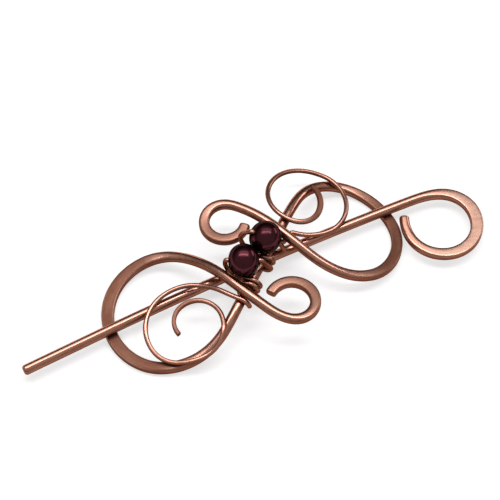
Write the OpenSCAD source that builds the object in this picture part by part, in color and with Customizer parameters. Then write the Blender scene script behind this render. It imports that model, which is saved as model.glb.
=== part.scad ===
// Shawl pin of copper wire: a frame bent into a lying figure of eight, a loose stick that
// passes through it, a thin wire that binds the waist and ends in two open spirals, and
// two glass pearls threaded on that thin wire.
// Millimetres. X runs along the stick towards its curl, Z is up, and the loops rest on Z = 0.

/* [Heavy wire] */
// Diameter of the round wire of the frame and the stick
wire_d = 2.5; // [2.3:0.05:2.5]
// Height of the waist's axis above the surface
waist_height = 7.25; // [7.25:0.05:7.5]

/* [Stick] */
// Height of the stick's axis above the surface
stick_height = 3.4; // [3.35:0.05:3.45]
// Length of the straight end that goes through the cloth
tip_length = 20; // [12:1:24]
// Width of the bevel round the tip
tip_bevel = 0.35; // [0.1:0.05:0.6]
// Length of the slightly bowed shank
shank_length = 82; // [80:1:84]
// How far the shank turns along its length, in degrees
shank_bow = 5.1; // [5:0.1:6]

/* [Thin wire] */
// Diameter of the thin wire
thin_d = 1.2; // [1:0.05:1.2]

/* [Pearls] */
// Greatest diameter of a pearl, across its hole
pearl_d = 8; // [7:0.1:8]
// Length of a pearl along its hole
pearl_length = 7.2; // [6.4:0.1:7.2]
// Diameter of the drilled hole
pearl_bore = 1.5; // [1.5:0.05:1.8]

/* [Smoothness] */
// Sides of the heavy wire where it is meshed
wire_sides = 14; // [10:2:16]
// Sides of the thin wire
thin_sides = 8; // [6:1:10]
// Distance between two rings of the heavy wire
wire_ring = 1.6; // [1.2:0.1:2.4]
// Distance between two rings of the thin wire
thin_ring = 1.1; // [1:0.05:2]

/* [Hidden] */
round_steps = 48;
$fn = round_steps;

copper = "peru";
wine = "#4a1c26";

// Columns of a bend table. Each row is one bend: the length of wire, the angle that it
// turns to the left, and what it is at its end: axis height, width and thickness.
RUN = 0;
TURN = 1;
HIGH = 2;
WIDE = 3;
THICK = 4;

// The frame is bent outwards from the middle of the waist, which is also where the table
// of the other half starts, in the opposite direction.
waist_middle = [3.88, 0.16];
waist_heading = 35.5;
round_d = wire_d;

left_half = [
    [15.5,   0, 7.25, round_d, round_d],  // waist
    [ 5,    -6, 5.6,  round_d, round_d],  // leaves the waist
    [10,   -37, 2.1,  2.6,  2.3 ],        // near side of the loop
    [ 6,   -18, 1.15, 2.7,  2.1 ],
    [ 8,   -36, 0.95, 2.9,  1.9 ],
    [18.5, -71, 0.95, 3.1,  1.9 ],        // hammered end, under the stick
    [12,   -49, 2.3,  2.8,  2.1 ],        // far side
    [ 9.5, -48, 4.5,  round_d, round_d],
    [ 6,   -17, 6.8,  round_d, round_d],  // diagonal back over the waist
    [ 6,    -6, 9.2,  round_d, round_d],
    [ 9,     2, 10,   round_d, round_d],
    [ 6,     4, 9.8,  round_d, round_d],
    [ 5,    20, 9.0,  round_d, round_d],
    [12,   136, 7.9,  2.7,  2.1 ],        // small curl
    [12,   124, 7.9,  2.6,  2.2 ],
];
right_half = [
    [16,     1, 7.2,  round_d, round_d],  // waist
    [ 4.5,  -6, 5.8,  round_d, round_d],  // leaves the waist
    [12.7, -70, 1.6,  2.5,  2.3 ],        // far side of the loop
    [ 5,   -22, 1.05, 2.6,  2.1 ],
    [11,   -34, 0.95, 2.7,  1.9 ],        // hammered end, under the stick
    [12.5, -57, 2.3,  2.8,  2.0 ],
    [ 7.5, -44, 3.7,  2.6,  2.2 ],        // near side
    [ 6.5, -28, 5.6,  round_d, round_d],
    [ 6.5, -18, 7.6,  round_d, round_d],  // diagonal back over the waist
    [ 8,    -7, 9.9,  round_d, round_d],
    [ 8,     3, 10,   round_d, round_d],
    [ 8.3,  14, 8.9,  round_d, round_d],
    [12,   148, 7.9,  2.7,  2.1 ],        // small curl
    [11.5, 132, 8.0,  2.6,  2.2 ],
];

// The stick's curl, from the end of the shank.
stick_curl = [
    [4.2,  -4, stick_height, 2.5, 2.5],
    [4.4, -18, stick_height, 2.6, 2.2],
    [5,   -36, stick_height, 2.9, 2.0],
    [5,   -36, stick_height, 3.1, 1.9],
    [7.5, -47, stick_height, 3.0, 1.9],
    [7.5, -50, stick_height, 2.8, 2.0],
    [7.5, -49, stick_height, 2.6, 2.2],
    [5,   -34, stick_height, 2.5, 2.3],
    [5,   -22, stick_height, 2.4, 2.3],
];
tip_end = [-58.02, 2.71];

// The two spirals of the thin wire, from the waist outwards.
left_spiral = [
    [6,    -5, 8.5, thin_d, thin_d],
    [4,    15, 7.0, thin_d, thin_d],
    [7.5,  43, 5.9, thin_d, thin_d],
    [8,    44, 5.5, thin_d, thin_d],      // over the stick
    [4.5,  25, 4.9, thin_d, thin_d],
    [5,    33, 3.7, 1.3, 1.1],
    [5,    38, 3.2, 1.3, 1.1],
    [5,    24, 4.2, 1.3, 1.1],            // along the top of the loop
    [5,    24, 5.1, thin_d, thin_d],
    [5,    47, 7.55, thin_d, thin_d],
    [5,    34, 7.6, thin_d, thin_d],
    [5,    43, 6.9, 1.3, 1.1],
    [5,    52, 6.2, 1.45, 1.05],
    [9,   104, 5.6, 1.45, 1.05],
];
left_spiral_start = [-6.82, -7.59];
left_spiral_heading = 124;
left_spiral_height = 9.1;

right_spiral = [
    [3.5,  15, 6.1, thin_d, thin_d],
    [5,    18, 5.5, thin_d, thin_d],
    [7.5,  54, 5.5, thin_d, thin_d],      // over the stick
    [7.5,  43, 4.9, thin_d, thin_d],
    [7.5,  42, 4.7, 1.25, 1.1],           // over the loop
    [5,    27, 5.6, 1.25, 1.1],
    [7.5,  50, 7.4, 1.25, 1.1],
    [7.5,  50, 8.9, thin_d, thin_d],
    [5,    33, 9.4, thin_d, thin_d],      // back over the waist
    [5,    47, 8.1, 1.3, 1.1],
    [5,    54, 7.1, 1.45, 1.05],
    [9,    66, 6.35, 1.45, 1.05],
];
right_spiral_start = [13.58, 3.21];
right_spiral_heading = -39;
right_spiral_height = 7.0;

// Places at the waist are given along it, to its left and above the surface.
lower_pearl_at = [-5.35, 2.75, 12.55];
upper_pearl_at = [2.35, 0.8, 12.8];
// How far each hole turns from square across the waist, and how far its left end rises.
lower_hole_turn = 25;
lower_hole_rise = 0;
upper_hole_turn = 25;
upper_hole_rise = 38;

// The binding lies round the waist. An angle of 0 is its right side, 90 its top, and each
// row gives where along the waist the wire is at that angle.
binding_side_r = 2.22;
binding_r = wire_d / 2 + thin_d / 2 + 0.15;
binding_shift = -0.2;
left_binding = [[45, -13.2], [0, -13.1], [-180, -9.45], [-270, -8.72], [-630, -7.44], [-860, -6.62]];
middle_binding = [[-45, -1.75], [-180, -1.2], [-270, -0.6], [-360, 0.1], [-500, 0.9]];
right_binding = [[-45, 3.6], [-180, 4.4], [-270, 5.1], [-315, 5.3]];
binding_step = 45;

// Where the thin wire leaves the binding for a hole or comes back from it: along the
// waist, to its left, height. The rows run in the wire's order, left spiral first.
into_lower = [[-6.8, 2.9, 6.0], [-7.0, 4.7, 6.5], [-7.1, 5.7, 7.8], [-7.2, 6.2, 9.3], [-7.25, 6.65, 10.9]];
out_of_lower = [[-3.1, -1.9, 10.6], [-2.4, -2.6, 9.0], [-1.95, -2.7, 7.4]];
into_upper = [[1.0, 2.9, 6.1], [0.9, 4.9, 7.2], [0.8, 6.2, 9.2], [0.8, 6.5, 11.6], [0.8, 5.6, 13.7]];
out_of_upper = [[3.85, -3.0, 9.0], [3.9, -3.35, 7.8], [3.75, -2.7, 6.6]];
to_right_spiral = [[6.1, -2.35, 7.5], [7.2, -2.2, 7.0], [8.2, -2.2, 6.9], [9.1, -2.5, 6.95]];

shank_steps = 1600;
hole_lead = 0.5;
ease_reach = 2;
rise_reach = 4;
end_bevel = 0.3;
spiral_ease = 1.5;
overlap = 0.8;
inset = 0.98;

// Geometry of a bend table

function run_before(t, i) = i == 0 ? 0 : run_before(t, i - 1) + t[i - 1][RUN];
function turn_before(t, i) = i == 0 ? 0 : turn_before(t, i - 1) + t[i - 1][TURN];
function length_of(t) = run_before(t, len(t));
function headings(t, first) = [for (i = [0 : len(t)]) [run_before(t, i), first + turn_before(t, i)]];
function column(t, c, first) = [for (i = [0 : len(t)]) [run_before(t, i), i == 0 ? first : t[i - 1][c]]];

// The value at s, averaged over a short reach so that one bend runs smoothly into the next.
function eased(pairs, s, reach, total) =
    let (r = max(0, min(reach, s, total - s)))
    (lookup(s - r, pairs) + lookup(s - r / 2, pairs) + lookup(s, pairs)
        + lookup(s + r / 2, pairs) + lookup(s + r, pairs)) / 5;

function compass(a) = [cos(a), sin(a)];

// Plan positions, one ring apart, walked along the eased headings.
function walk(pairs, start, n, ds, reach, total) =
    [for (i = 0, p = start; i <= n;
          p = p + ds * compass(eased(pairs, (i + 0.5) * ds, reach, total)), i = i + 1) p];

// Rows of [point, width, thickness] along a bent wire. The first row has the size and
// height of the wire where it starts.
function bent(t, start, heading, high, size, ring, reach, rise) =
    let (total = length_of(t), n = ceil(total / ring), ds = total / n,
         plan = walk(headings(t, heading), start, n, ds, reach, total),
         highs = column(t, HIGH, high),
         wides = column(t, WIDE, size),
         thicks = column(t, THICK, size))
    [for (i = [0 : n])
        [[plan[i].x, plan[i].y, eased(highs, i * ds, rise, total)],
         eased(wides, i * ds, reach, total),
         eased(thicks, i * ds, reach, total)]];

function reversed(v) = [for (i = [len(v) - 1 : -1 : 0]) v[i]];
function without_first(v) = [for (i = [1 : len(v) - 1]) v[i]];
function unit(v) = v / norm(v);
function flattened(v) = [for (part = v) each part];

// Geometry of a section swept along rows of [point, width, thickness]

function tangent(rows, i) =
    unit(rows[min(i + 1, len(rows) - 1)][0] - rows[max(i - 1, 0)][0]);

// A direction across the wire, carried from ring to ring without twisting.
function carried(side, t) = unit(side - (side * t) * t);
function sides(rows, first) =
    [for (i = 0, s = carried(first, tangent(rows, 0)); i < len(rows);
          s = carried(s, tangent(rows, min(i + 1, len(rows) - 1))), i = i + 1) s];
// For a lying wire the direction across is level.
function level_sides(rows) =
    [for (i = [0 : len(rows) - 1]) unit(cross([0, 0, 1], tangent(rows, i)))];

// Round where width and thickness agree, squarer where the wire is hammered.
function squareness(wide, thick) = 2 + 2.2 * min(1, max(0, wide / thick - 1) / 0.6);
function along_axis(c, power) = sign(c) * pow(abs(c), 2 / power);
function ring(row, side, t, count, grow) =
    let (up = cross(t, side), power = squareness(row[1], row[2]))
    [for (k = [0 : count - 1])
        let (a = 360 * (k + 0.5) / count)
        row[0] + grow * (side * along_axis(cos(a), power) * row[1] / 2
            + up * along_axis(sin(a), power) * row[2] / 2)];

module swept(rows, across, count, bevel) {
    last = len(rows) - 1;
    first_t = tangent(rows, 0);
    last_t = tangent(rows, last);
    cut_first = [rows[0][0] - bevel * first_t, rows[0][1], rows[0][2]];
    cut_last = [rows[last][0] + bevel * last_t, rows[last][1], rows[last][2]];
    small = 1 - 2 * bevel / rows[last][1];
    rings = concat(
        bevel > 0 ? [ring(cut_first, across[0], first_t, count, small)] : [],
        [for (i = [0 : last]) ring(rows[i], across[i], tangent(rows, i), count, 1)],
        bevel > 0 ? [ring(cut_last, across[last], last_t, count, small)] : []);
    top = len(rings) - 1;
    walls = [for (i = [0 : top - 1], k = [0 : count - 1])
        let (a = i * count + k, b = i * count + (k + 1) % count)
        each [[a, a + count, b], [b, a + count, b + count]]];
    caps = [[for (k = [0 : count - 1]) k], [for (k = [count - 1 : -1 : 0]) top * count + k]];
    polyhedron(points = flattened(rings), faces = concat(walls, caps), convexity = 10);
}

// Places at the waist

function at_waist(p) =
    [waist_middle.x + p[0] * cos(waist_heading) - p[1] * sin(waist_heading),
     waist_middle.y + p[0] * sin(waist_heading) + p[1] * cos(waist_heading),
     p[2]];

// The direction of a pearl's hole, towards its left end.
function hole_direction(turn, rise) =
    [cos(rise) * cos(waist_heading + 90 + turn), cos(rise) * sin(waist_heading + 90 + turn), sin(rise)];
function hole_points(at, turn, rise) =
    let (middle = at_waist(at), d = hole_direction(turn, rise), half = pearl_length / 2)
    [for (along = [half + hole_lead, half - hole_lead, 0, hole_lead - half, -half - hole_lead])
        middle + along * d];

function bound(table) =
    let (from = table[0][0], to = table[len(table) - 1][0],
         pairs = [for (i = [len(table) - 1 : -1 : 0]) table[i]])
    [for (a = [from : -binding_step : to])
        at_waist([lookup(a, pairs), binding_shift - binding_side_r * cos(a),
                  waist_height + binding_r * sin(a)])];

function placed(list) = [for (p = list) at_waist(p)];

// A smooth curve through points, cut into steps of about the given length.
function between(p0, p1, p2, p3, t) =
    0.5 * (2 * p1 + (p2 - p0) * t + (2 * p0 - 5 * p1 + 4 * p2 - p3) * t * t
        + (3 * p1 - p0 - 3 * p2 + p3) * t * t * t);
function smooth(pts, step) =
    let (last = len(pts) - 1)
    concat(
        [for (i = [0 : last - 1])
            let (n = max(1, round(norm(pts[i + 1] - pts[i]) / step)))
            for (k = [0 : n - 1])
                between(pts[max(i - 1, 0)], pts[i], pts[i + 1], pts[min(i + 2, last)], k / n)],
        [pts[last]]);

left_rows = bent(left_half, waist_middle, waist_heading + 180, waist_height, round_d,
                 wire_ring, ease_reach, rise_reach);
right_rows = bent(right_half, waist_middle, waist_heading, waist_height, round_d,
                  wire_ring, ease_reach, rise_reach);
frame_rows = concat(reversed(left_rows), without_first(right_rows));

left_spiral_rows = bent(left_spiral, left_spiral_start, left_spiral_heading,
                        left_spiral_height, thin_d, thin_ring, spiral_ease, spiral_ease);
right_spiral_rows = bent(right_spiral, right_spiral_start, right_spiral_heading,
                         right_spiral_height, thin_d, thin_ring, spiral_ease, spiral_ease);
waist_points = concat(
    [left_spiral_rows[0][0]],
    bound(left_binding), placed(into_lower),
    hole_points(lower_pearl_at, lower_hole_turn, lower_hole_rise),
    placed(out_of_lower), bound(middle_binding), placed(into_upper),
    hole_points(upper_pearl_at, upper_hole_turn, upper_hole_rise),
    placed(out_of_upper), bound(right_binding), placed(to_right_spiral),
    [right_spiral_rows[0][0]]);
waist_rows = [for (p = smooth(waist_points, thin_ring)) [p, thin_d, thin_d]];
scroll_rows = concat(
    reversed(without_first(left_spiral_rows)), waist_rows, without_first(right_spiral_rows));

tip_d = inset * wire_d;
shank_r = shank_length / (shank_bow * PI / 180);
shank_start = [tip_end.x + tip_length, tip_end.y];
shank_centre = [shank_start.x, shank_start.y - shank_r];
shank_end = shank_centre + shank_r * compass(90 - shank_bow);
curl_rows = bent(stick_curl, shank_end, -shank_bow, stick_height, wire_d,
                 wire_ring, ease_reach, rise_reach);

module frame_wire() {
    color(copper)
        swept(frame_rows, level_sides(frame_rows), wire_sides, end_bevel);
}

module tip() {
    translate([tip_end.x, tip_end.y, stick_height])
        rotate([0, 90, 0]) {
            cylinder(h = tip_bevel, d1 = tip_d - 2 * tip_bevel, d2 = tip_d);
            translate([0, 0, tip_bevel])
                cylinder(h = tip_length - tip_bevel + overlap, d = tip_d);
        }
}

module shank() {
    translate([shank_centre.x, shank_centre.y, stick_height])
        rotate([0, 0, 90 - shank_bow])
            rotate_extrude(angle = shank_bow, $fn = shank_steps)
                translate([shank_r, 0])
                    circle(d = wire_d, $fn = round_steps);
}

// The curl starts a little inside the shank, a hair thinner, and grows to full size. The
// tip ends inside the shank in the same way.
module curl() {
    into_shank = [curl_rows[0][0] - overlap * tangent(curl_rows, 0), inset * wire_d, inset * wire_d];
    shoulder = [curl_rows[0][0], inset * wire_d, inset * wire_d];
    rows = concat([into_shank, shoulder], without_first(curl_rows));
    swept(rows, level_sides(rows), wire_sides, 0);
}

module stick() {
    color(copper)
        union() {
            tip();
            shank();
            curl();
        }
}

module scroll_wire() {
    color(copper)
        swept(scroll_rows, sides(scroll_rows, [0, 0, 1]), thin_sides, 0);
}

// A pearl is round across its hole and a little shorter along it.
module pearl(at, turn, rise) {
    cheek_r = pearl_length / 2;
    cheek_at = pearl_d / 2 - cheek_r;
    color(wine)
        translate(at_waist(at))
            rotate([0, 90 - rise, waist_heading + 90 + turn])
                rotate_extrude()
                    intersection() {
                        translate([cheek_at, 0])
                            circle(r = cheek_r);
                        translate([pearl_bore / 2, -pearl_length])
                            square([pearl_d, 2 * pearl_length]);
                    }
}

module upper_pearl() {
    pearl(upper_pearl_at, upper_hole_turn, upper_hole_rise);
}

module lower_pearl() {
    pearl(lower_pearl_at, lower_hole_turn, lower_hole_rise);
}

frame_wire();
stick();
scroll_wire();
upper_pearl();
lower_pearl();
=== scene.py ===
"""Looks of a copper shawl pin: a hammered wire frame, a loose stick with a curled end,
a thin wire that binds the waist and ends in two spirals, and two burgundy pearls.

The bend tables are in millimetres, as a wire worker would give them, and the meshes are
in metres.
"""

import logging
import math
from dataclasses import dataclass
from enum import Enum
from typing import Sequence

import bmesh
import bpy
import numpy as np
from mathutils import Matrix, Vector


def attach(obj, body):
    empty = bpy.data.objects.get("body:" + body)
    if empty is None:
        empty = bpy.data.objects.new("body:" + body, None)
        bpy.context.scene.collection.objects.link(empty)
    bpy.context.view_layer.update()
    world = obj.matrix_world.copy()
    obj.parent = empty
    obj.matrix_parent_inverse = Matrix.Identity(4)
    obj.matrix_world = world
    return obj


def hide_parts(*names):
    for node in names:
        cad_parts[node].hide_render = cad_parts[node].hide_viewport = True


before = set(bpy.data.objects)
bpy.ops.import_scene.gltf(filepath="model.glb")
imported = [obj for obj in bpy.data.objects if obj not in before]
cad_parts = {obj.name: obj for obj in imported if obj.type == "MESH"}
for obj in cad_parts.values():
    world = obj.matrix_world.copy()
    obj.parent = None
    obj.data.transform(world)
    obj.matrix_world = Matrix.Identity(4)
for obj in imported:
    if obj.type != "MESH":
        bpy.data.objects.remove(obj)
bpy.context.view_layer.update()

LOG = logging.getLogger("shawl_pin")
MM = 0.001
PER_MM = 1 / MM

Point = np.ndarray
Colour = tuple[float, float, float, float]


# Node trees


class Sock:
    """A node's output that takes part in expressions, so that maths reads as maths."""

    def __init__(self, tree: "Tree", out: bpy.types.NodeSocket, wide: bool = False) -> None:
        """Wraps an output.

        Args:
            tree: the tree that the output belongs to.
            out: the output.
            wide: True if it is a vector or a colour.
        """
        self.tree = tree
        self.out = out
        self.wide = wide

    def _do(self, operation: str, *others: "Value", swap: bool = False) -> "Sock":
        """Adds the node of one operation.

        Args:
            operation: the operation's name, as scalars know it.
            others: the other operands.
            swap: True if this socket is the second operand.

        Returns:
            The result.
        """
        parts: list[Value] = [self, *others]
        if swap:
            parts.reverse()
        sockets = dict(enumerate(parts))
        wide = [p for p in parts if is_wide(p)]
        plain = [p for p in parts if not is_wide(p)]
        if not wide:
            return self.tree.add("ShaderNodeMath", {"operation": operation}, sockets)[0]
        if operation == "MULTIPLY" and plain:
            operation, sockets = "SCALE", {"Vector": wide[0], "Scale": plain[0]}
        return self.tree.add("ShaderNodeVectorMath", {"operation": operation}, sockets)[0]

    def __add__(self, other: "Value") -> "Sock":
        """Sum."""
        return self._do("ADD", other)

    def __radd__(self, other: "Value") -> "Sock":
        """Sum, from the right."""
        return self._do("ADD", other, swap=True)

    def __sub__(self, other: "Value") -> "Sock":
        """Difference."""
        return self._do("SUBTRACT", other)

    def __rsub__(self, other: "Value") -> "Sock":
        """Difference, from the right."""
        return self._do("SUBTRACT", other, swap=True)

    def __mul__(self, other: "Value") -> "Sock":
        """Product."""
        return self._do("MULTIPLY", other)

    def __rmul__(self, other: "Value") -> "Sock":
        """Product, from the right."""
        return self._do("MULTIPLY", other, swap=True)

    def __truediv__(self, other: "Value") -> "Sock":
        """Quotient."""
        return self._do("DIVIDE", other)

    def __rtruediv__(self, other: "Value") -> "Sock":
        """Quotient, from the right."""
        return self._do("DIVIDE", other, swap=True)

    def __pow__(self, other: "Value") -> "Sock":
        """Power."""
        return self._do("POWER", other)

    def __rpow__(self, other: "Value") -> "Sock":
        """Power, from the right."""
        return self._do("POWER", other, swap=True)

    def __abs__(self) -> "Sock":
        """Size without sign."""
        return self._do("ABSOLUTE")

    def sign(self) -> "Sock":
        """-1, 0 or 1."""
        return self._do("SIGN")

    def cos(self) -> "Sock":
        """Cosine, of radians."""
        return self._do("COSINE")

    def sin(self) -> "Sock":
        """Sine, of radians."""
        return self._do("SINE")

    def atleast(self, other: "Value") -> "Sock":
        """The larger of two values."""
        return self._do("MAXIMUM", other)

    def atmost(self, other: "Value") -> "Sock":
        """The smaller of two values."""
        return self._do("MINIMUM", other)

    def ramp(self, low: float, high: float) -> "Sock":
        """Rises smoothly from 0 at low to 1 at high."""
        return self.tree.add(
            "ShaderNodeMapRange",
            {"interpolation_type": "SMOOTHSTEP", "clamp": True},
            {"Value": self, "From Min": low, "From Max": high, "To Min": 0.0, "To Max": 1.0},
        )[0]


Value = Sock | float | tuple[float, ...]


def is_wide(value: Value) -> bool:
    """True for a vector or a colour."""
    return isinstance(value, tuple) or (isinstance(value, Sock) and value.wide)


@dataclass(frozen=True)
class Noise:
    """How a fractal noise looks.

    Args:
        scale: how fine it is.
        detail: how many octaves.
        rough: how strong the finer octaves are.
    """

    scale: float
    detail: float
    rough: float = 0.5


class Tree:
    """Builds a shader or geometry tree: one method adds any node."""

    def __init__(self, tree: bpy.types.NodeTree) -> None:
        """Starts with an empty tree."""
        self.tree = tree
        tree.nodes.clear()

    def add(
        self, kind: str, settings: dict | None = None, sockets: dict | None = None
    ) -> "Outputs":
        """Adds a node, sets it up and links it.

        Args:
            kind: the node's type.
            settings: its properties.
            sockets: values or outputs for its inputs, by name or index.

        Returns:
            The node's outputs.
        """
        node = self.tree.nodes.new(kind)
        for key, value in (settings or {}).items():
            setattr(node, key, value)
        for key, value in (sockets or {}).items():
            if isinstance(value, Sock):
                self.tree.links.new(value.out, node.inputs[key])
            else:
                node.inputs[key].default_value = value
        return Outputs(self, node)

    def blend(self, factor: Value, low: Value, high: Value) -> Sock:
        """Mixes two colours.

        Args:
            factor: 0 gives the first, 1 the second.
            low: the first colour.
            high: the second colour.

        Returns:
            The mixed colour.
        """
        node = self.add("ShaderNodeMix", {"data_type": "RGBA"}, {"Factor": factor}).node
        for socket, value in zip([s for s in node.inputs if s.type == "RGBA"], (low, high)):
            if isinstance(value, Sock):
                self.tree.links.new(value.out, socket)
            else:
                socket.default_value = value
        return Sock(self, [s for s in node.outputs if s.type == "RGBA"][0], True)

    def noise(self, where: Value, kind: Noise) -> Sock:
        """Fractal noise at a point, between about 0 and 1."""
        return self.add(
            "ShaderNodeTexNoise",
            {},
            {"Vector": where, "Scale": kind.scale, "Detail": kind.detail, "Roughness": kind.rough},
        )[0]

    def attribute(self, name: str) -> Sock:
        """A number that is stored on the mesh, for a shader."""
        return self.add("ShaderNodeAttribute", {"attribute_name": name})["Fac"]

    def upward(self, coords: "Outputs") -> Sock:
        """How far the surface faces up, from -1 to 1."""
        return self.add("ShaderNodeSeparateXYZ", {}, {"Vector": coords["Normal"]})["Z"]

    def surface(self, sockets: dict) -> None:
        """Adds the shader, with values for its inputs, and the output that it goes to."""
        shader = self.add("ShaderNodeBsdfPrincipled", {}, sockets)
        self.add("ShaderNodeOutputMaterial", {}, {"Surface": shader[0]})


class Outputs:
    """The outputs of a node, by index or name."""

    def __init__(self, tree: Tree, node: bpy.types.Node) -> None:
        """Remembers the tree and the node."""
        self.tree = tree
        self.node = node

    def __getitem__(self, key: int | str) -> Sock:
        """The output with that index or name."""
        out = self.node.outputs[key]
        return Sock(self.tree, out, out.type in {"VECTOR", "RGBA"})


def new_material(name: str) -> tuple[bpy.types.Material, Tree]:
    """Starts a material.

    Args:
        name: its name.

    Returns:
        The material and its empty tree.
    """
    mat = bpy.data.materials.new(name)
    mat.use_nodes = True
    return mat, Tree(mat.node_tree)


def linked(name: str, data: bpy.types.ID) -> bpy.types.Object:
    """Makes an object and puts it in the scene.

    Args:
        name: its name.
        data: its mesh, camera or light.

    Returns:
        The object.
    """
    obj = bpy.data.objects.new(name, data)
    bpy.context.collection.objects.link(obj)
    return obj


# Finishes


NOISE_MIDDLE = 0.5

# Copper: noises over the surface, in 1/mm
CLOUDS = Noise(0.22, 3.0)
BLOTCHES = Noise(0.9, 4.0, 0.6)
SPECKS = Noise(5.0, 3.0, 0.7)
HAMMER_MARKS = Noise(1.1, 2.0, 0.4)

# Copper: the fine lines are long along the wire and narrow round it
LINES = Noise(1.0, 2.0, 0.6)
LINES_ALONG = 0.12 / MM
LINES_AROUND = 16.0

# Copper: where a ramp starts and where it is full
WIDE_FLATS = (0.08, 0.6)
PALE_FLATS = (0.1, 0.6)
SHARP_EDGES = (0.3, 0.8)
FACING_UP = (0.1, 0.5)
# Span of the upward level over which the painted shade on the undersides fades into the brown patina.
PATINA_AND_SHADE_FADE = (-0.35, 0.35)
BRIGHT_LINES = (0.42, 0.7)
DARK_SPECKS = (0.42, 0.68)

# Copper: how strong each effect is
CLOUD_SHIFT = 0.35
BLOTCH_SHIFT = 0.25
# Where the polish on top starts and is full, as values of the upward level: rubbing and painted light
# together.
RUB_AND_LIGHT_START, RUB_AND_LIGHT_FULL = 0.95, 1.2
EDGE_WEAR, EDGE_BLOTCHES = 0.4, 0.6
LINE_METAL = 0.12
SPECK_PATINA = 0.1

# Copper: what each effect adds to the roughness, and its least and most
PATINA_ROUGH = 0.12
BLOTCH_ROUGH = 0.14
SPECK_ROUGH = 0.06
FLAT_ROUGH = 0.08
DULL_ROUGH = 0.15
ROUGH_MIN, ROUGH_MAX = 0.16, 0.7

# Copper: depths of the marks, as shares of the bump's distance
HAMMER_DEPTH = 0.32
SPECK_DEPTH = 0.012
SPECK_ON_ROUND = 0.2
HAMMERED_LINE_DEPTH, DRAWN_LINE_DEPTH = 0.05, 0.07
BUMP_STRENGTH = 0.4
BUMP_DISTANCE = 0.1 * MM
PATINA_METALLIC, METALLIC_RISE = 0.9, 0.1
COPPER_TINT = (0.7, 0.45, 0.38, 1)

# Pearl
PEARL_CLOUDS = Noise(0.35, 3.0, 0.55)
PEARL_GRAIN = Noise(7.0, 3.0, 0.6)
PEARL_CLOUDY = (0.25, 0.75)
# The lustre's painted light: strong on top, fading to a painted shade on the underside.
PEARL_PAINTED_LIGHT = (0.0, 0.8)
PEARL_PATCHES, PEARL_EVEN = 0.4, 0.5
PEARL_TOP, PEARL_UNDERSIDE = 0.85, 0.15
HOLE_DARKENING, HOLE_ROUGH = 0.7, 0.2
PEARL_BUMP_STRENGTH = 0.12
PEARL_BUMP_DISTANCE = 0.02 * MM
PEARL_TINT = (0.12, 0.02, 0.03, 1)


class Grain(Enum):
    """How a wire's surface was worked."""

    DRAWN = "drawn through a plate, with fine lines along it"
    HAMMERED = "hammered flat in places, with shallow marks"


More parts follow.
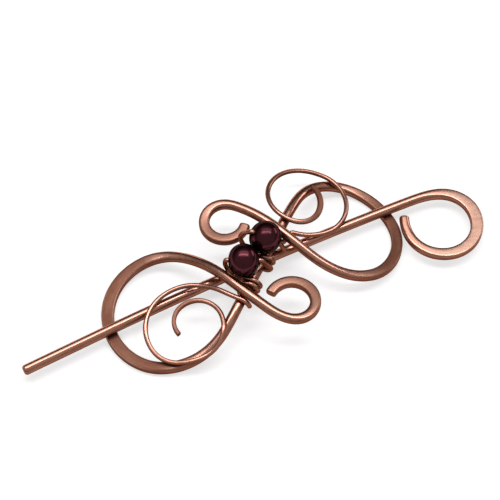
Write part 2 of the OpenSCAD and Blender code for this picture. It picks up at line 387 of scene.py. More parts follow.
@dataclass(frozen=True)
class CopperFinish:
    """Antiqued copper: polished on top, partly from rubbing and partly as painted light, and brown
    below, a patina darkened by painted shade on the undersides.

    Args:
        name: the material's name.
        polished: colour of the polished metal on top, where it was rubbed and where painted light
            falls.
        pale: colour of that polished metal where it was hammered flat.
        brown: colour of the patina.
        dark: colour of the deepest patina, and of the painted shade on the undersides.
        grain: how the surface was worked.
        roughness: roughness of the rubbed metal.
        rub_and_light_reach: how far round the sides the polish reaches, both rubbing and painted light,
            from 0 to 1.
        dull: how far the widest hammered stretches have gone brown again.
    """

    name: str
    polished: Colour = (0.78, 0.385, 0.285, 1)
    pale: Colour = (0.72, 0.42, 0.32, 1)
    brown: Colour = (0.2, 0.066, 0.036, 1)
    dark: Colour = (0.055, 0.01, 0.0045, 1)
    grain: Grain = Grain.HAMMERED
    roughness: float = 0.2
    rub_and_light_reach: float = 0.5
    dull: float = 0.0

    def material(self) -> bpy.types.Material:
        """Builds the material.

        Returns:
            The material.
        """
        mat, t = new_material(self.name)
        coords = t.add("ShaderNodeTexCoord")
        here = coords["Object"] * PER_MM
        up = t.upward(coords)
        along, around, flat, edge = [t.attribute(n) for n in ("along", "around", "flat", "edge")]
        cloudy, blotches, specks = [t.noise(here, kind) for kind in (CLOUDS, BLOTCHES, SPECKS)]
        unrolled = {"X": along * LINES_ALONG, "Y": around * LINES_AROUND, "Z": 0.0}
        lines = t.noise(t.add("ShaderNodeCombineXYZ", {}, unrolled)[0], LINES)
        # Painted light and shade: level rises where the surface faces up, so the colour is polished on
        # top and dark underneath, as light would fall.
        level = (
            up + (cloudy - NOISE_MIDDLE) * CLOUD_SHIFT + (blotches - NOISE_MIDDLE) * BLOTCH_SHIFT
        )
        dulled = flat.ramp(*WIDE_FLATS) * self.dull
        # Sharp edges of the flats are polished: edge wear, and painted light on the edges that face up.
        worn_and_top_lit_edges = (
            edge.ramp(*SHARP_EDGES) * up.ramp(*FACING_UP) * (blotches * EDGE_BLOTCHES + EDGE_WEAR)
        )
        # Painted highlight: the upward faces get the polished colour, partly rubbing and partly painted
        # light.
        painted_top_light = level.ramp(RUB_AND_LIGHT_START - self.rub_and_light_reach, RUB_AND_LIGHT_FULL - self.rub_and_light_reach / 2)
        rubbed_and_top_lit = (painted_top_light * (1.0 - dulled)).atleast(worn_and_top_lit_edges)
        metal = t.blend(flat.ramp(*PALE_FLATS), self.polished, self.pale)
        # Painted shade: the downward faces get the darkest colour, over the brown patina.
        under = t.blend(level.ramp(*PATINA_AND_SHADE_FADE), self.dark, self.brown)
        under = t.blend(lines.ramp(*BRIGHT_LINES) * LINE_METAL, under, metal)
        shade = t.blend(specks.ramp(*DARK_SPECKS) * SPECK_PATINA, metal, self.brown)
        colour = t.blend(rubbed_and_top_lit, under, shade)
        rough = (
            self.roughness
            + (1.0 - rubbed_and_top_lit) * PATINA_ROUGH
            + (blotches - NOISE_MIDDLE) * BLOTCH_ROUGH
            + (specks - NOISE_MIDDLE) * SPECK_ROUGH
            + flat * FLAT_ROUGH
            + dulled * DULL_ROUGH
        )
        hammered = t.noise(here, HAMMER_MARKS) * HAMMER_DEPTH * flat
        hammered = hammered + specks * SPECK_DEPTH * (SPECK_ON_ROUND + flat)
        line_depth = HAMMERED_LINE_DEPTH if self.grain is Grain.HAMMERED else DRAWN_LINE_DEPTH
        marks = hammered + lines * line_depth
        bump = t.add(
            "ShaderNodeBump",
            {},
            {"Strength": BUMP_STRENGTH, "Distance": BUMP_DISTANCE, "Height": marks},
        )
        t.surface(
            {
                "Base Color": colour,
                "Metallic": PATINA_METALLIC + rubbed_and_top_lit * METALLIC_RISE,
                "Roughness": rough.atleast(ROUGH_MIN).atmost(ROUGH_MAX),
                "Specular Tint": COPPER_TINT,
                "Normal": bump[0],
            }
        )
        return mat


@dataclass(frozen=True)
class PearlFinish:
    """Burgundy glass pearl: a dark body under a metallic lustre and a clear gloss.

    Args:
        name: the material's name.
        body: the darkest colour.
        lustre: the colour of the lustre where its painted light is strongest, on top.
        roughness: roughness of the lustre.
    """

    name: str
    body: Colour = (0.028, 0.003, 0.004, 1)
    lustre: Colour = (0.12, 0.031, 0.041, 1)
    roughness: float = 0.22

    def material(self) -> bpy.types.Material:
        """Builds the material.

        Returns:
            The material.
        """
        mat, t = new_material(self.name)
        coords = t.add("ShaderNodeTexCoord")
        here = coords["Object"] * PER_MM
        cloudy, fine = t.noise(here, PEARL_CLOUDS), t.noise(here, PEARL_GRAIN)
        near_hole = t.attribute("hole")
        up = t.upward(coords)
        patchy = cloudy.ramp(*PEARL_CLOUDY) * PEARL_PATCHES + PEARL_EVEN
        # Painted light and shade: the lustre is strong on the top and weak on the underside.
        lit = up.ramp(*PEARL_PAINTED_LIGHT) * PEARL_TOP + PEARL_UNDERSIDE
        lustre = patchy * (1.0 - near_hole * HOLE_DARKENING) * lit
        colour = t.blend(lustre, self.body, self.lustre)
        bump = t.add(
            "ShaderNodeBump",
            {},
            {"Strength": PEARL_BUMP_STRENGTH, "Distance": PEARL_BUMP_DISTANCE, "Height": fine},
        )
        t.surface(
            {
                "Base Color": colour,
                "Metallic": 0.94 + cloudy * 0.06,
                "Roughness": self.roughness + (fine - NOISE_MIDDLE) * 0.08 + near_hole * HOLE_ROUGH,
                "Specular Tint": PEARL_TINT,
                "Coat Weight": 0.1,
                "Coat Roughness": 0.06,
                "Normal": bump[0],
            }
        )
        return mat


# Bend tables


WIRE = 2.5
THIN = 1.2
UP = (0.0, 0.0, 1.0)
EASING = (-1, -0.5, 0, 0.5, 1)
CUT_RINGS = 6
LEAST_GAP = 0.05


@dataclass(frozen=True)
class Bend:
    """One row of a bend table, in millimetres and degrees.

    Args:
        run: length of wire.
        turn: how far it turns to the left over that length.
        high: height of the axis at the end of the run.
        wide: width there.
        thick: thickness there.
    """

    run: float
    turn: float
    high: float
    wide: float = WIRE
    thick: float = WIRE


@dataclass
class Station:
    """A section of a wire, in millimetres.

    Args:
        at: the point on the axis.
        wide: width of the section.
        thick: its thickness.
        scale: its size as a share of those, below 1 towards a cut end.
    """

    at: Point
    wide: float
    thick: float
    scale: float = 1.0


def eased(xs: np.ndarray, ys: np.ndarray, s: float, reach: float) -> float:
    """The value at s, averaged over a short reach so that bends run into each other.

    Args:
        xs: lengths along the wire.
        ys: values there.
        s: the length asked for.
        reach: how far to either side the average goes.

    Returns:
        The averaged value.
    """
    r = max(0.0, min(reach, s, xs[-1] - s))
    return float(np.mean([np.interp(s + r * k, xs, ys) for k in EASING]))


@dataclass
class BentWire:
    """A wire bent row by row from a starting point.

    Args:
        table: the bends.
        start: where it starts in plan.
        heading: the direction it starts in, in degrees from +X.
        high: height of the axis at the start.
        size: diameter at the start.
        reach: how far the easing of the turns and sections goes.
        rise: how far the easing of the height goes.
        step: distance between two stations.
    """

    table: Sequence[Bend]
    start: tuple[float, float]
    heading: float
    high: float
    size: float
    reach: float = 2.0
    rise: float = 4.0
    step: float = 0.4

    def stations(self) -> list[Station]:
        """Walks along the wire.

        Returns:
            The stations, from the start.
        """
        runs = np.cumsum([0.0] + [b.run for b in self.table])
        turns = self.heading + np.cumsum([0.0] + [b.turn for b in self.table])
        highs = np.array([self.high] + [b.high for b in self.table])
        wides = np.array([self.size] + [b.wide for b in self.table])
        thicks = np.array([self.size] + [b.thick for b in self.table])
        count = math.ceil(runs[-1] / self.step)
        ds = runs[-1] / count
        x, y = self.start
        out: list[Station] = []
        for i in range(count + 1):
            s = i * ds
            out.append(
                Station(
                    np.array([x, y, eased(runs, highs, s, self.rise)]),
                    eased(runs, wides, s, self.reach),
                    eased(runs, thicks, s, self.reach),
                )
            )
            a = math.radians(eased(runs, turns, min(s + ds / 2, runs[-1]), self.reach))
            x, y = x + ds * math.cos(a), y + ds * math.sin(a)
        return out


def smooth_curve(points: Sequence[Point], step: float) -> list[Point]:
    """A smooth curve through points.

    Args:
        points: the points that it passes.
        step: about how far apart the new points are.

    Returns:
        The new points.
    """
    out: list[Point] = []
    last = len(points) - 1
    for i in range(last):
        p0, p1 = points[max(i - 1, 0)], points[i]
        p2, p3 = points[i + 1], points[min(i + 2, last)]
        n = max(1, round(float(np.linalg.norm(p2 - p1)) / step))
        for k in range(n):
            t = k / n
            out.append(
                0.5
                * (
                    2 * p1
                    + (p2 - p0) * t
                    + (2 * p0 - 5 * p1 + 4 * p2 - p3) * t**2
                    + (3 * p1 - p0 - 3 * p2 + p3) * t**3
                )
            )
    out.append(points[last])
    return out


@dataclass(frozen=True)
class CutEnd:
    """A wire's cut end with its edge rubbed round.

    Args:
        beyond: how far the end lies beyond the last station, in millimetres.
        edge: how far back the rounding goes, in millimetres.
        face: how wide the flat face is, as a share of the wire.
    """

    beyond: float
    edge: float
    face: float

    def stations(self, last: Station, direction: Point) -> list[Station]:
        """Adds stations whose sections shrink towards the face.

        Args:
            last: the last full station.
            direction: the direction of the wire there, outwards.

        Returns:
            The stations outwards from it.
        """
        out: list[Station] = []
        for k in range(CUT_RINGS + 1):
            a = math.radians(90 * k / CUT_RINGS)
            along = self.beyond - self.edge * (1 - math.sin(a))
            shrink = self.face + (1 - self.face) * math.cos(a)
            out.append(Station(last.at + along * direction, last.wide, last.thick, shrink))
        return out


def direction_at(stations: Sequence[Station], i: int) -> Point:
    """The direction of the wire at its station i, as a unit vector."""
    d = stations[min(i + 1, len(stations) - 1)].at - stations[max(i - 1, 0)].at
    return d / np.linalg.norm(d)


def with_ends(stations: list[Station], first: CutEnd, last: CutEnd) -> list[Station]:
    """Puts a cut end on both ends of a wire.

    Args:
        stations: the stations between them.
        first: the end at the start.
        last: the end at the end.

    Returns:
        All the stations.
    """
    start = first.stations(stations[0], -direction_at(stations, 0))
    end = last.stations(stations[-1], direction_at(stations, len(stations) - 1))
    drop_first = max(0.0, first.edge - first.beyond) + LEAST_GAP
    drop_last = max(0.0, last.edge - last.beyond) + LEAST_GAP
    middle = [
        s
        for s in stations
        if float(np.linalg.norm(s.at - stations[0].at)) >= drop_first
        and float(np.linalg.norm(s.at - stations[-1].at)) >= drop_last
    ]
    return start[::-1] + middle + end


# How much wider than thick a fully flat section is, and how square that makes it
FULL_FLAT = 0.6
SQUARENESS = 4.0

# Hammer dents: their noise, how far round the wire they vary, and their share where it is round
DENTS = Noise(0.55, 2.0)
DENT_SPREAD = 0.7
ROUND_DENTS = 0.25

EDGE_SHARPNESS = 3.0


class SweepTree:
    """The geometry tree that turns a spine into a wire."""

    def __init__(self) -> None:
        """Builds the tree and its named inputs."""
        group = bpy.data.node_groups.new("wire sweep", "GeometryNodeTree")
        face = group.interface
        face.new_socket("Spine", in_out="INPUT", socket_type="NodeSocketGeometry")
        self.sides = face.new_socket("Sides", in_out="INPUT", socket_type="NodeSocketInt")
        self.dents = face.new_socket("Dents", in_out="INPUT", socket_type="NodeSocketFloat")
        self.finish = face.new_socket("Finish", in_out="INPUT", socket_type="NodeSocketMaterial")
        face.new_socket("Wire", in_out="OUTPUT", socket_type="NodeSocketGeometry")
        self.group = group
        self._build(Tree(group))

    @staticmethod
    def _stored(t: Tree, name: str, vector: bool = False) -> Sock:
        """Reads a named attribute, a number or a vector."""
        kind = "FLOAT_VECTOR" if vector else "FLOAT"
        return t.add("GeometryNodeInputNamedAttribute", {"data_type": kind}, {"Name": name})[0]

    @staticmethod
    def _store(t: Tree, geometry: Sock, name: str, value: Value) -> Sock:
        """Gives back the geometry with a named attribute on its points."""
        kind = "FLOAT_VECTOR" if is_wide(value) else "FLOAT"
        return t.add(
            "GeometryNodeStoreNamedAttribute",
            {"data_type": kind, "domain": "POINT"},
            {"Geometry": geometry, "Name": name, "Value": value},
        )[0]

    def _build(self, t: Tree) -> None:
        """Adds the nodes.

        Args:
            t: the tree.
        """
        asked = t.add("NodeGroupInput")
        spine = t.add("GeometryNodeMeshToCurve", {}, {"Mesh": asked["Spine"]})[0]
        spine = self._store(t, spine, "axis", t.add("GeometryNodeInputPosition")[0])
        ring = t.add(
            "GeometryNodeCurvePrimitiveCircle",
            {"mode": "RADIUS"},
            {"Resolution": asked["Sides"], "Radius": MM},
        )[0]
        turn = t.add("GeometryNodeInputIndex")[0] / asked["Sides"]
        ring = self._store(t, ring, "around", turn)
        tube = t.add(
            "GeometryNodeCurveToMesh",
            {},
            {"Curve": spine, "Profile Curve": ring, "Fill Caps": True},
        )[0]
        wide, thick = self._stored(t, "wide"), self._stored(t, "thick")
        scale, axis = self._stored(t, "shrink"), self._stored(t, "axis", True)
        side, up = self._stored(t, "side", True), self._stored(t, "up", True)
        angle = self._stored(t, "around") * (2 * math.pi)
        flat = ((wide / thick - 1.0) / FULL_FLAT).atleast(0.0).atmost(1.0)
        power = 2.0 / (2.0 + flat * SQUARENESS)
        across = angle.cos().sign() * abs(angle.cos()) ** power
        above = angle.sin().sign() * abs(angle.sin()) ** power
        seed = axis * PER_MM + side * angle.cos() * DENT_SPREAD + up * angle.sin() * DENT_SPREAD
        dent = (t.noise(seed, DENTS) - NOISE_MIDDLE) * asked["Dents"] * (ROUND_DENTS + flat)
        size = scale * (1.0 + dent)
        place = axis + side * (across * wide * size * 0.5) + up * (above * thick * size * 0.5)
        tube = t.add("GeometryNodeSetPosition", {}, {"Geometry": tube, "Position": place})[0]
        tube = self._store(t, tube, "flat", flat)
        tube = self._store(t, tube, "edge", abs((angle * 2.0).sin()) ** EDGE_SHARPNESS * flat)
        tube = t.add("GeometryNodeSetShadeSmooth", {}, {"Geometry": tube})[0]
        tube = t.add("GeometryNodeRealizeInstances", {}, {"Geometry": tube})[0]
        tube = t.add(
            "GeometryNodeSetMaterial", {}, {"Geometry": tube, "Material": asked["Finish"]}
        )[0]
        t.add("NodeGroupOutput", {}, {0: tube})


def plain_mesh(obj: bpy.types.Object, name: str) -> bpy.types.Object:
    """Replaces an object and its modifiers by the mesh that they make.

    Args:
        obj: the object.
        name: the new object's name.

    Returns:
        The new object.
    """
    graph = bpy.context.evaluated_depsgraph_get()
    mesh = bpy.data.meshes.new_from_object(
        obj.evaluated_get(graph), preserve_all_data_layers=True, depsgraph=graph
    )
    mesh.name = name
    made = linked(name, mesh)
    bpy.data.objects.remove(obj)
    return made


@dataclass
class WirePiece:
    """A wire that is swept along its stations.

    Args:
        name: the piece's name.
        node: the CAD node that it stands for.
        body: the body that it rides on.
        finish: its finish.
        sides: sides of its section.
        level: True if the width stays level all along.
        dents: how strong the hammer marks are.
        fit: share of the stated gauge, under 1 where a round wire would touch its neighbours.
    """

    name: str
    node: str
    body: str
    finish: CopperFinish
    sides: int = 40
    level: bool = True
    dents: float = 0.04
    fit: float = 1.0

    def stations(self) -> list[Station]:
        """The wire's stations. Each kind of wire gives its own."""
        raise NotImplementedError

    def _frames(self, stations: Sequence[Station]) -> tuple[np.ndarray, np.ndarray]:
        """The directions across and up at each station.

        Args:
            stations: the stations.

        Returns:
            The two arrays of unit vectors.
        """
        sides, ups = [], []
        carried = np.array(UP)
        for i in range(len(stations)):
            d = direction_at(stations, i)
            across = np.cross(UP, d) if self.level else carried - np.dot(carried, d) * d
            across /= np.linalg.norm(across)
            carried = across
            sides.append(across)
            ups.append(np.cross(d, across))
        return np.array(sides), np.array(ups)

    def build(self, tree: SweepTree) -> bpy.types.Object:
        """Builds the piece and gives it to its body.

        Args:
            tree: the tree that sweeps the wire.

        Returns:
            The piece.
        """
        stations = self.stations()
        points = np.array([s.at for s in stations]) * MM
        lengths = np.concatenate([[0.0], np.cumsum(np.linalg.norm(np.diff(points, axis=0), axis=1))])
        sides, ups = self._frames(stations)
        mesh = bpy.data.meshes.new(self.name + "_spine")
        mesh.from_pydata(points.tolist(), [(i, i + 1) for i in range(len(points) - 1)], [])
        scalars = {
            "wide": [s.wide * self.fit * MM for s in stations],
            "thick": [s.thick * self.fit * MM for s in stations],
            "shrink": [s.scale for s in stations],
            "along": lengths.tolist(),
        }
        for key, values in scalars.items():
            mesh.attributes.new(key, "FLOAT", "POINT").data.foreach_set("value", values)
        for key, values in (("side", sides), ("up", ups)):
            mesh.attributes.new(key, "FLOAT_VECTOR", "POINT").data.foreach_set("vector", values.ravel())
        spine = linked(mesh.name, mesh)
        sweep = spine.modifiers.new("sweep", "NODES")
        sweep.node_group = tree.group
        sweep[tree.sides.identifier] = self.sides
        sweep[tree.dents.identifier] = self.dents
        sweep[tree.finish.identifier] = self.finish.material()
        piece = plain_mesh(spine, self.name)
        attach(piece, self.body)
        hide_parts(self.node)
        LOG.info("%s: %d stations, %d faces", self.name, len(stations), len(piece.data.polygons))
        return piece


# The waist


WAIST = (3.88, 0.16)
WAIST_HEADING = 35.5
WAIST_HIGH = 7.25
STICK_HIGH = 3.4


def at_waist(along: float, left: float, high: float) -> Point:
    """A place given along the waist, to its left and above the surface.

    Args:
        along: distance along the waist from its middle.
        left: distance to its left.
        high: height above the surface.

    Returns:
        The point.
    """
    a = math.radians(WAIST_HEADING)
    return np.array(
        [
            WAIST[0] + along * math.cos(a) - left * math.sin(a),
            WAIST[1] + along * math.sin(a) + left * math.cos(a),
            high,
        ]
    )


@dataclass
class FrameWire(WirePiece):
    """The heavy wire in a lying figure of eight, bent outwards from the waist's middle.

    Args:
        left: bends of the left loop, its diagonal and its small curl.
        right: the same of the right half.
        end: both cut ends.
    """

    left: tuple[Bend, ...] = (
        Bend(15.5, 0, 7.25),
        Bend(5, -6, 5.6),
        Bend(10, -37, 2.1, 2.6, 2.3),
        Bend(6, -18, 1.15, 2.7, 2.1),
        Bend(8, -36, 0.95, 2.9, 1.9),
        Bend(18.5, -71, 0.95, 3.1, 1.9),
        Bend(12, -49, 2.3, 2.8, 2.1),
        Bend(9.5, -48, 4.5),
        Bend(6, -17, 6.8),
        Bend(6, -6, 9.2),
        Bend(9, 2, 10),
        Bend(6, 4, 9.8),
        Bend(5, 20, 9.0),
        Bend(12, 136, 7.9, 2.7, 2.1),
        Bend(12, 124, 7.9, 2.6, 2.2),
    )
    right: tuple[Bend, ...] = (
        Bend(16, 1, 7.2),
        Bend(4.5, -6, 5.8),
        Bend(12.7, -70, 1.6, 2.5, 2.3),
        Bend(5, -22, 1.05, 2.6, 2.1),
        Bend(11, -34, 0.95, 2.7, 1.9),
        Bend(12.5, -57, 2.3, 2.8, 2.0),
        Bend(7.5, -44, 3.7, 2.6, 2.2),
        Bend(6.5, -28, 5.6),
        Bend(6.5, -18, 7.6),
        Bend(8, -7, 9.9),
        Bend(8, 3, 10),
        Bend(8.3, 14, 8.9),
        Bend(12, 148, 7.9, 2.7, 2.1),
        Bend(11.5, 132, 8.0, 2.6, 2.2),
    )
    end: CutEnd = CutEnd(0.3, 0.45, 0.62)

    def stations(self) -> list[Station]:
        """The left half backwards, then the right half.

        Returns:
            The stations.
        """
        left = BentWire(self.left, WAIST, WAIST_HEADING + 180, WAIST_HIGH, WIRE).stations()
        right = BentWire(self.right, WAIST, WAIST_HEADING, WAIST_HIGH, WIRE).stations()
        return with_ends(left[::-1] + right[1:], self.end, self.end)


@dataclass
class Stick(WirePiece):
    """The stick: a straight tip, a slightly bowed shank and a hammered curl.

    Args:
        tip_end: the middle of the tip's cut face, in plan.
        tip_length: length of the straight part.
        shank_length: length of the bowed part.
        shank_bow: how far it turns to the right over that length, in degrees.
        tip_stations: stations of the straight part.
        shank_stations: stations of the bowed part.
        curl: bends of the curl.
        tip_cut: the cut end of the tip.
        curl_cut: the cut end of the curl.
    """

    tip_end: tuple[float, float] = (-58.02, 2.71)
    tip_length: float = 20.0
    shank_length: float = 82.0
    shank_bow: float = 5.1
    tip_stations: int = 41
    shank_stations: int = 165
    curl: tuple[Bend, ...] = (
        Bend(4.2, -4, STICK_HIGH),
        Bend(4.4, -18, STICK_HIGH, 2.6, 2.2),
        Bend(5, -36, STICK_HIGH, 2.9, 2.0),
        Bend(5, -36, STICK_HIGH, 3.1, 1.9),
        Bend(7.5, -47, STICK_HIGH, 3.0, 1.9),
        Bend(7.5, -50, STICK_HIGH, 2.8, 2.0),
        Bend(7.5, -49, STICK_HIGH, 2.6, 2.2),
        Bend(5, -34, STICK_HIGH, 2.5, 2.3),
        Bend(5, -22, STICK_HIGH, 2.4, 2.3),
    )
    tip_cut: CutEnd = CutEnd(0.0, 0.7, 0.45)
    curl_cut: CutEnd = CutEnd(0.0, 0.45, 0.62)

    def stations(self) -> list[Station]:
        """The tip, the shank and the curl in one run.

        Returns:
            The stations.
        """
        x, y = self.tip_end
        radius = self.shank_length / math.radians(self.shank_bow)
        out = [
            Station(np.array([x + s, y, STICK_HIGH]), WIRE, WIRE)
            for s in np.linspace(0.0, self.tip_length, self.tip_stations)
        ]
        for a in np.linspace(0.0, math.radians(self.shank_bow), self.shank_stations)[1:]:
            at = [
                x + self.tip_length + radius * math.sin(a),
                y - radius * (1 - math.cos(a)),
                STICK_HIGH,
            ]
            out.append(Station(np.array(at), WIRE, WIRE))
        end = out[-1].at
        bent = BentWire(self.curl, (end[0], end[1]), -self.shank_bow, STICK_HIGH, WIRE).stations()
        return with_ends(out + bent[1:], self.tip_cut, self.curl_cut)


# The thin wire on its way between the turns and the pearls. Each row is a place
# along the waist, to its left and above the surface.
Places = tuple[tuple[float, float, float], ...]
INTO_LOWER: Places = (
    (-6.8, 2.9, 6.0),
    (-7.0, 4.7, 6.5),
    (-7.1, 5.7, 7.8),
    (-7.2, 6.2, 9.3),
    (-7.25, 6.65, 10.9),
)
OUT_OF_LOWER: Places = ((-3.1, -1.9, 10.6), (-2.4, -2.6, 9.0), (-1.95, -2.7, 7.4))
INTO_UPPER: Places = (
    (1.0, 2.9, 6.1),
    (0.9, 4.9, 7.2),
    (0.8, 6.2, 9.2),
    (0.8, 6.5, 11.6),
    (0.8, 5.6, 13.7),
)
OUT_OF_UPPER: Places = ((3.85, -3.0, 9.0), (3.9, -3.35, 7.8), (3.75, -2.7, 6.6))
TO_SPIRAL: Places = ((6.1, -2.35, 7.5), (7.2, -2.2, 7.0), (8.2, -2.2, 6.9), (9.1, -2.5, 6.95))

# The turns round the waist. Each row is an angle, where 0 is the right side and 90
# the top, and the place along the waist.
Turns = tuple[tuple[float, float], ...]
FIRST_TURNS: Turns = (
    (45, -13.2),
    (0, -13.1),
    (-180, -9.45),
    (-270, -8.72),
    (-630, -7.44),
    (-860, -6.62),
)
MIDDLE_TURNS: Turns = ((-45, -1.75), (-180, -1.2), (-270, -0.6), (-360, 0.1), (-500, 0.9))
LAST_TURNS: Turns = ((-45, 3.6), (-180, 4.4), (-270, 5.1), (-315, 5.3))
TURN_STEP = 45

# The spirals, from where they leave the binding
SPIRAL_EASE = 1.5
THIN_STEP = 0.3
LEFT_SPIRAL = BentWire(
    start=(-6.82, -7.59),
    heading=124.0,
    high=9.1,
    size=THIN,
    reach=SPIRAL_EASE,
    rise=SPIRAL_EASE,
    step=THIN_STEP,
    table=(
        Bend(6, -5, 8.5, THIN, THIN),
        Bend(4, 15, 7.0, THIN, THIN),
        Bend(7.5, 43, 5.9, THIN, THIN),
        Bend(8, 44, 5.5, THIN, THIN),
        Bend(4.5, 25, 4.9, THIN, THIN),
        Bend(5, 33, 3.7, 1.3, 1.1),
        Bend(5, 38, 3.2, 1.3, 1.1),
        Bend(5, 24, 4.2, 1.3, 1.1),
        Bend(5, 24, 5.1, THIN, THIN),
        Bend(5, 47, 7.55, THIN, THIN),
        Bend(5, 34, 7.6, THIN, THIN),
        Bend(5, 43, 6.9, 1.3, 1.1),
        Bend(5, 52, 6.2, 1.45, 1.05),
        Bend(9, 104, 5.6, 1.45, 1.05),
    ),
)
RIGHT_SPIRAL = BentWire(
    start=(13.58, 3.21),
    heading=-39.0,
    high=7.0,
    size=THIN,
    reach=SPIRAL_EASE,
    rise=SPIRAL_EASE,
    step=THIN_STEP,
    table=(
        Bend(3.5, 15, 6.1, THIN, THIN),
        Bend(5, 18, 5.5, THIN, THIN),
        Bend(7.5, 54, 5.5, THIN, THIN),
        Bend(7.5, 43, 4.9, THIN, THIN),
        Bend(7.5, 42, 4.7, 1.25, 1.1),
        Bend(5, 27, 5.6, 1.25, 1.1),
        Bend(7.5, 50, 7.4, 1.25, 1.1),
        Bend(7.5, 50, 8.9, THIN, THIN),
        Bend(5, 33, 9.4, THIN, THIN),
        Bend(5, 47, 8.1, 1.3, 1.1),
        Bend(5, 54, 7.1, 1.45, 1.05),
        Bend(9, 66, 6.35, 1.45, 1.05),
    ),
)


@dataclass
class ScrollWire(WirePiece):
    """The thin wire: a spiral, the binding with both pearls on it, and a second spiral.

    Args:
        side_r: how far out the turns pass the waist at its sides.
        over_r: how far out they pass it above and below.
        shift: how far the turns' middle lies to the left of the waist's.
        end: both cut ends.
    """

    side_r: float = 2.22
    over_r: float = WIRE / 2 + THIN / 2 + 0.15
    shift: float = -0.2
    end: CutEnd = CutEnd(0.0, 0.2, 0.55)

    def _bound(self, table: Turns) -> list[Point]:
        """Turns round the waist.

        Args:
            table: rows of the angle and the place along the waist.

        Returns:
            A point for each step of the angle.
        """
        angles = [row[0] for row in table][::-1]
        places = [row[1] for row in table][::-1]
        out = []
        a = table[0][0]
        while a >= table[-1][0]:
            r = math.radians(a)
            out.append(
                at_waist(
                    float(np.interp(a, angles, places)),
                    self.shift - self.side_r * math.cos(r),
                    WAIST_HIGH + self.over_r * math.sin(r),
                )
            )
            a -= TURN_STEP
        return out

    def stations(self) -> list[Station]:
        """The left spiral backwards, the waist, then the right spiral.

        Returns:
            The stations.
        """
        left, right = LEFT_SPIRAL.stations(), RIGHT_SPIRAL.stations()
        points = [left[0].at]
        points += self._bound(FIRST_TURNS)
        points += [at_waist(*p) for p in INTO_LOWER] + LOWER.hole_points()
        points += [at_waist(*p) for p in OUT_OF_LOWER]
        points += self._bound(MIDDLE_TURNS)
        points += [at_waist(*p) for p in INTO_UPPER] + UPPER.hole_points()
        points += [at_waist(*p) for p in OUT_OF_UPPER]
        points += self._bound(LAST_TURNS)
        points += [at_waist(*p) for p in TO_SPIRAL] + [right[0].at]
        waist = [Station(p, THIN, THIN) for p in smooth_curve(points, THIN_STEP)]
        return with_ends(left[:0:-1] + waist + right[1:], self.end, self.end)


# Pearls


@dataclass
class Pearl:
    """A drilled pearl, round across its hole and a little shorter along it.

    Args:
        name: the piece's name.
        node: the CAD node that it stands for.
        at: its middle, along the waist, to its left and above the surface.
        turn: how far its hole turns from square across the waist, in degrees.
        rise: how far the hole's left end rises, in degrees.
        finish: its finish.
        across: diameter across the hole.
        length: length along the hole.
        bore: diameter of the hole.
        lip: radius of the hole's rounded rim.
        fade: how far from the hole its darkening reaches.
        lead: how far outside and inside each end of the hole the wire is held straight.
        segments: faces round the hole.
        outside: sections over the outside.
        rim_steps: steps of each rounded rim.
        inside: sections along the bore.
    """

    name: str
    node: str
    at: tuple[float, float, float]
    turn: float
    rise: float
    finish: PearlFinish
    across: float = 8.0
    length: float = 7.2
    bore: float = 1.5
    lip: float = 0.14
    fade: float = 0.9
    lead: float = 0.5
    segments: int = 96
    outside: int = 65
    rim_steps: int = 4
    inside: int = 9

    def direction(self) -> Point:
        """The direction of the hole towards its left end, as a unit vector."""
        a, e = math.radians(WAIST_HEADING + 90 + self.turn), math.radians(self.rise)
        return np.array([math.cos(e) * math.cos(a), math.cos(e) * math.sin(a), math.sin(e)])

    def hole_points(self) -> list[Point]:
        """Points of the thin wire through the hole, left end first.

        Returns:
            The points.
        """
        middle, half = at_waist(*self.at), self.length / 2
        out, back = half + self.lead, half - self.lead
        return [middle + k * self.direction() for k in (out, back, 0.0, -back, -out)]

    def _profile(self) -> list[tuple[float, float, float]]:
        """Half the section, as rows of radius, place along the hole, and nearness to the hole.

        Returns:
            The rows, from one end of the bore over the outside to the other and back inside.
        """
        cheek = self.length / 2
        inset = self.across / 2 - cheek
        hole, lip = self.bore / 2, self.lip
        reach = math.acos((hole + lip - inset) / cheek)
        rows: list[tuple[float, float, float]] = []
        for a in np.linspace(-reach, reach, self.outside):
            r, x = inset + cheek * math.cos(a), cheek * math.sin(a)
            rows.append((r, x, max(0.0, 1 - (r - hole) / self.fade)))
        edge = rows[-1][1]
        rim = []
        for k in range(1, self.rim_steps + 1):
            b = math.radians(90 * k / self.rim_steps)
            rim.append((hole + lip * (1 - math.sin(b)), edge - lip * (1 - math.cos(b)), 1.0))
        bore = np.linspace(edge - 2 * lip, -edge + 2 * lip, self.inside)
        return rows + rim + [(hole, x, 1.0) for x in bore] + [(r, -x, near) for r, x, near in rim[::-1]]

    def build(self) -> bpy.types.Object:
        """Builds the pearl and gives it to the frame's body.

        Returns:
            The piece.
        """
        d = self.direction()
        u = np.cross(d, UP)
        u /= np.linalg.norm(u)
        v = np.cross(d, u)
        middle = at_waist(*self.at)
        rows = self._profile()
        bm = bmesh.new()
        hole = bm.verts.layers.float.new("hole")
        rings = []
        for k in range(self.segments):
            a = 2 * math.pi * k / self.segments
            out = math.cos(a) * u + math.sin(a) * v
            ring = []
            for r, x, near in rows:
                vert = bm.verts.new(Vector((middle + x * d + r * out) * MM))
                vert[hole] = near
                ring.append(vert)
            rings.append(ring)
        for k, ring in enumerate(rings):
            after = rings[(k + 1) % self.segments]
            for i in range(len(rows)):
                j = (i + 1) % len(rows)
                bm.faces.new((ring[i], ring[j], after[j], after[i])).smooth = True
        bmesh.ops.recalc_face_normals(bm, faces=bm.faces)
        mesh = bpy.data.meshes.new(self.name)
        bm.to_mesh(mesh)
        bm.free()
        mesh.materials.append(self.finish.material())
        piece = linked(self.name, mesh)
        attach(piece, "frame")
        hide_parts(self.node)
        LOG.info("%s: %d faces", self.name, len(mesh.polygons))
        return piece


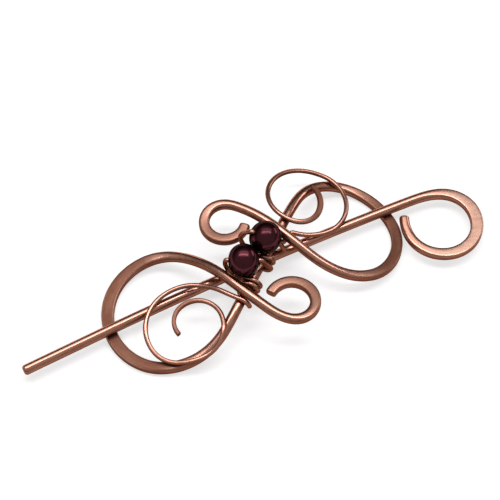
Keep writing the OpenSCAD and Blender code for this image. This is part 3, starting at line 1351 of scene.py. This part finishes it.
UPPER = Pearl(
    "pearl_above", "upper_pearl", (2.35, 0.8, 12.8), 25, 38, PearlFinish("burgundy pearl above")
)
LOWER = Pearl(
    "pearl_below", "lower_pearl", (-5.35, 2.75, 12.55), 25, 0, PearlFinish("burgundy pearl below")
)


# Studio


@dataclass(frozen=True)
class Strip:
    """A soft light that faces the object.

    Args:
        name: its name.
        at: its middle, in millimetres.
        size: its two sides, in millimetres.
        power: its power, in watts.
    """

    name: str
    at: tuple[float, float, float]
    size: tuple[float, float]
    power: float


@dataclass
class Studio:
    """The camera at the photograph's angle, a pale floor and soft lights.

    Args:
        target: the point that the camera looks at, in millimetres.
        azimuth: the camera's direction round the object, in degrees.
        elevation: its height above the horizon, in degrees.
        distance: its distance, in millimetres.
        lens: the lens, in millimetres.
        sensor: width of the sensor, in millimetres.
        floor_half: half the side of the floor, in metres.
        floor_glow: how strongly the floor glows, like a light table.
        sky_fall: how much darker the sky gets towards +X and towards +Y.
        sky_span: where the sky's ramp starts and where it is full.
        sky_low: the sky's colour low down behind the object.
        sky_high: its colour elsewhere.
        sky_strength: how bright it is.
        lights: the soft lights.
    """

    target: tuple[float, float, float] = (2.78, 5.01, 5.0)
    azimuth: float = -29.0
    elevation: float = 59.0
    distance: float = 350.0
    lens: float = 105.0
    sensor: float = 36.0
    floor_half: float = 3.0
    floor_glow: float = 0.62
    sky_fall: tuple[float, float] = (0.24, 0.44)
    sky_span: tuple[float, float] = (-0.1, 0.65)
    sky_low: Colour = (0.1, 0.1, 0.1, 1)
    sky_high: Colour = (1.0, 0.985, 0.97, 1)
    sky_strength: float = 0.33
    lights: tuple[Strip, ...] = (
        Strip("front strip", (38.0, 68.0, 455.0), (560.0, 110.0), 0.8),
        Strip("back strip", (113.0, 200.0, 408.0), (560.0, 80.0), 0.22),
        Strip("side strip", (432.0, 20.0, 140.0), (200.0, 90.0), 0.16),
    )

    def back(self) -> Vector:
        """The direction from the object to the camera, as a unit vector."""
        a, e = math.radians(self.azimuth), math.radians(self.elevation)
        return Vector((math.sin(a) * math.cos(e), -math.cos(a) * math.cos(e), math.sin(e)))

    def camera(self) -> None:
        """Sets up the camera."""
        data = bpy.data.cameras.new("camera")
        data.lens = self.lens
        data.sensor_width = self.sensor
        data.clip_start, data.clip_end = 0.01, 10.0
        cam = linked("camera", data)
        cam.location = Vector(self.target) * MM + self.back() * self.distance * MM
        cam.rotation_euler = (-self.back()).to_track_quat("-Z", "Y").to_euler()
        bpy.context.scene.camera = cam

    def floor(self) -> None:
        """Lays the pale floor."""
        mesh = bpy.data.meshes.new("floor")
        half = self.floor_half
        corners = [(-half, -half, 0), (half, -half, 0), (half, half, 0), (-half, half, 0)]
        mesh.from_pydata(corners, [], [(0, 1, 2, 3)])
        mat, t = new_material("pale floor")
        t.surface(
            {
                "Base Color": (0.8, 0.8, 0.8, 1),
                "Roughness": 0.9,
                "Specular IOR Level": 0.1,
                "Emission Color": (1, 1, 1, 1),
                "Emission Strength": self.floor_glow,
            }
        )
        mesh.materials.append(mat)
        floor = linked("floor", mesh)

    def light(self) -> None:
        """Sets up the soft lights and the surroundings."""
        aim = Vector(self.target) * MM
        for strip in self.lights:
            data = bpy.data.lights.new(strip.name, "AREA")
            data.shape = "RECTANGLE"
            data.size, data.size_y = strip.size[0] * MM, strip.size[1] * MM
            data.energy = strip.power
            lamp = linked(strip.name, data)
            lamp.location = Vector(strip.at) * MM
            lamp.rotation_euler = (aim - lamp.location).to_track_quat("-Z", "Y").to_euler()
        world = bpy.data.worlds.new("studio")
        world.use_nodes = True
        t = Tree(world.node_tree)
        ray = t.add("ShaderNodeTexCoord")["Generated"]
        above = t.add("ShaderNodeSeparateXYZ", {}, {"Vector": ray})
        towards = above["Z"] - above["X"] * self.sky_fall[0] - above["Y"] * self.sky_fall[1]
        sky = t.blend(towards.ramp(*self.sky_span), self.sky_low, self.sky_high)
        back = t.add("ShaderNodeBackground", {}, {"Color": sky, "Strength": self.sky_strength})
        t.add("ShaderNodeOutputWorld", {}, {"Surface": back[0]})
        bpy.context.scene.world = world
        bpy.context.scene.view_settings.view_transform = "Standard"

    def build(self) -> None:
        """Builds the whole studio."""
        self.camera()
        self.floor()
        self.light()


def main() -> None:
    """Builds the studio and every piece."""
    logging.basicConfig(level=logging.INFO, format="%(message)s")
    Studio().build()
    tree = SweepTree()
    heavy = CopperFinish("antiqued copper, hammered", dull=0.88)
    FrameWire("hammered_frame", "frame_wire", "frame", heavy, fit=0.99).build(tree)
    bright = CopperFinish("antiqued copper, stick", brown=(0.27, 0.1, 0.06, 1))
    Stick("curled_stick", "stick", "stick", bright).build(tree)
    thin = CopperFinish(
        "antiqued copper, thin", pale=(0.72, 0.35, 0.26, 1), grain=Grain.DRAWN, roughness=0.22, dull=0.7
    )
    ScrollWire(
        "binding_wire", "scroll_wire", "frame", thin, sides=24, level=False, dents=0.02, fit=0.975
    ).build(tree)
    UPPER.build()
    LOWER.build()


if __name__ == "__main__":
    main()
